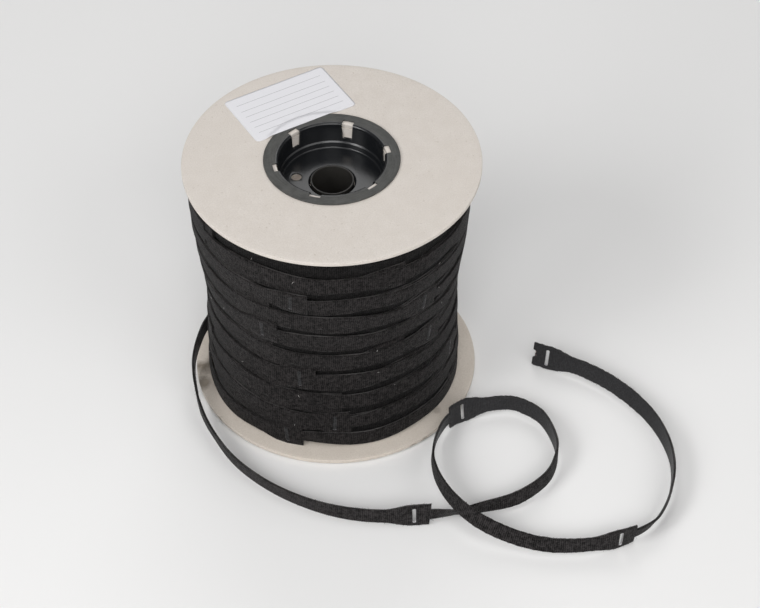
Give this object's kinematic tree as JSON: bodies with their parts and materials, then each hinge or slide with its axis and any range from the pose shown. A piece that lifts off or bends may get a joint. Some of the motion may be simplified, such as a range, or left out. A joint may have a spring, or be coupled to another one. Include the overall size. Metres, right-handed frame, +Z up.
{
  "type": "hook and loop cable tie roll",
  "caption": "Standing reel of hook and loop cable ties: paperboard flanges, pressed steel hubs with a spindle bore, a wound black tie band and a loose end of joined ties curling on the floor.",
  "frame": {"origin": "bottom centre on the reel's axis, where the lower hub ring meets the floor", "axes": "+Z up along the reel's axis, -Y towards the loose end that lies in front of the reel"},
  "size_m": [0.3476, 0.2933, 0.2018],
  "materials": {
    "board": "pale grey-beige pressed paperboard, matte, with fine specks",
    "core_board": "spiral wound paper tube, matte",
    "steel": "black painted pressed steel, satin, worn lighter on the ring",
    "label_paper": "blank white sticker paper, slightly glossy",
    "tie_band": "black hook and loop band, fuzzy loops on the outer face and smooth fine hooks on the inner face"
  },
  "bodies": {
    "root": {"bottom_flange": "board", "top_flange": "board", "core_tube": "core_board", "arbor_tube": "steel", "top_hub": "steel", "bottom_hub": "steel", "label": "label_paper", "winding_core": "tie_band", "winding_outer_layer": "tie_band", "tail_tie_1": "tie_band", "tail_tie_2": "tie_band", "tail_tie_3": "tie_band", "tail_tie_4": "tie_band", "tail_tie_5": "tie_band"}
  },
  "joints": []
}
